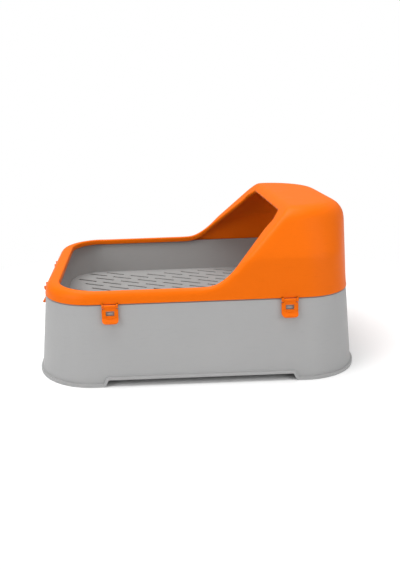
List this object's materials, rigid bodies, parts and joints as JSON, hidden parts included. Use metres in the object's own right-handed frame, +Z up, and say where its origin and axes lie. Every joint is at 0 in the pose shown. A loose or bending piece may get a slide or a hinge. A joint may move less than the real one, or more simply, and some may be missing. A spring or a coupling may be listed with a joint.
{
  "type": "sifting litter box",
  "caption": "Open-top cat litter box: skirted base pan, nested slotted sifting trays, and a clip-on shield with a low rim and a sloped hood at one end, held by hinged latches.",
  "frame": {"origin": "on the floor, under the middle of the footprint", "axes": "+X along the length towards the hood, +Y across the width, +Z up"},
  "size_m": [0.56, 0.436, 0.281],
  "materials": {
    "base_plastic": "fine-grained satin grey polypropylene",
    "tray_plastic": "satin grey polypropylene, slightly smoother inside",
    "shield_plastic": "satin orange polypropylene with soft edges"
  },
  "bodies": {
    "base": {"base_pan": "base_plastic"},
    "bottom_tray": {"tray_bottom": "tray_plastic"},
    "middle_tray": {"tray_middle": "tray_plastic"},
    "top_tray": {"tray_top": "tray_plastic"},
    "hooded_shield": {"shield": "shield_plastic"},
    "front_left_latch": {"latch_front_left": "shield_plastic"},
    "front_right_latch": {"latch_front_right": "shield_plastic"},
    "rear_left_latch": {"latch_rear_left": "shield_plastic"},
    "rear_right_latch": {"latch_rear_right": "shield_plastic"},
    "left_end_front_latch": {"latch_left_end_front": "shield_plastic"},
    "left_end_rear_latch": {"latch_left_end_rear": "shield_plastic"},
    "right_end_front_latch": {"latch_right_end_front": "shield_plastic"},
    "right_end_rear_latch": {"latch_right_end_rear": "shield_plastic"}
  },
  "joints": [
    {"name": "bottom_tray_lift", "type": "slide", "parent": "base", "child": "bottom_tray", "axis": [0, 0, 1], "range_m": [0, 0.09]},
    {"name": "middle_tray_lift", "type": "slide", "parent": "bottom_tray", "child": "middle_tray", "axis": [0, 0, 1], "range_m": [0, 0.08]},
    {"name": "top_tray_lift", "type": "slide", "parent": "middle_tray", "child": "top_tray", "axis": [0, 0, 1], "range_m": [0, 0.07]},
    {"name": "shield_lift", "type": "slide", "parent": "top_tray", "child": "hooded_shield", "axis": [0, 0, 1], "range_m": [0, 0.06]},
    {"name": "front_left_hinge", "type": "hinge", "parent": "hooded_shield", "child": "front_left_latch", "pos_m": [-0.147, -0.20404, 0.1375], "axis": [-1, 0, 0], "range_deg": [0, 110]},
    {"name": "front_right_hinge", "type": "hinge", "parent": "hooded_shield", "child": "front_right_latch", "pos_m": [0.147, -0.20404, 0.1375], "axis": [-1, 0, 0], "range_deg": [0, 110]},
    {"name": "rear_left_hinge", "type": "hinge", "parent": "hooded_shield", "child": "rear_left_latch", "pos_m": [-0.147, 0.20404, 0.1375], "axis": [1, 0, 0], "range_deg": [0, 110]},
    {"name": "rear_right_hinge", "type": "hinge", "parent": "hooded_shield", "child": "rear_right_latch", "pos_m": [0.147, 0.20404, 0.1375], "axis": [1, 0, 0], "range_deg": [0, 110]},
    {"name": "left_end_front_hinge", "type": "hinge", "parent": "hooded_shield", "child": "left_end_front_latch", "pos_m": [-0.26604, -0.075, 0.1375], "axis": [0, 1, 0], "range_deg": [0, 110]},
    {"name": "left_end_rear_hinge", "type": "hinge", "parent": "hooded_shield", "child": "left_end_rear_latch", "pos_m": [-0.26604, 0.075, 0.1375], "axis": [0, 1, 0], "range_deg": [0, 110]},
    {"name": "right_end_front_hinge", "type": "hinge", "parent": "hooded_shield", "child": "right_end_front_latch", "pos_m": [0.26604, -0.075, 0.1375], "axis": [0, -1, 0], "range_deg": [0, 110]},
    {"name": "right_end_rear_hinge", "type": "hinge", "parent": "hooded_shield", "child": "right_end_rear_latch", "pos_m": [0.26604, 0.075, 0.1375], "axis": [0, -1, 0], "range_deg": [0, 110]}
  ]
}
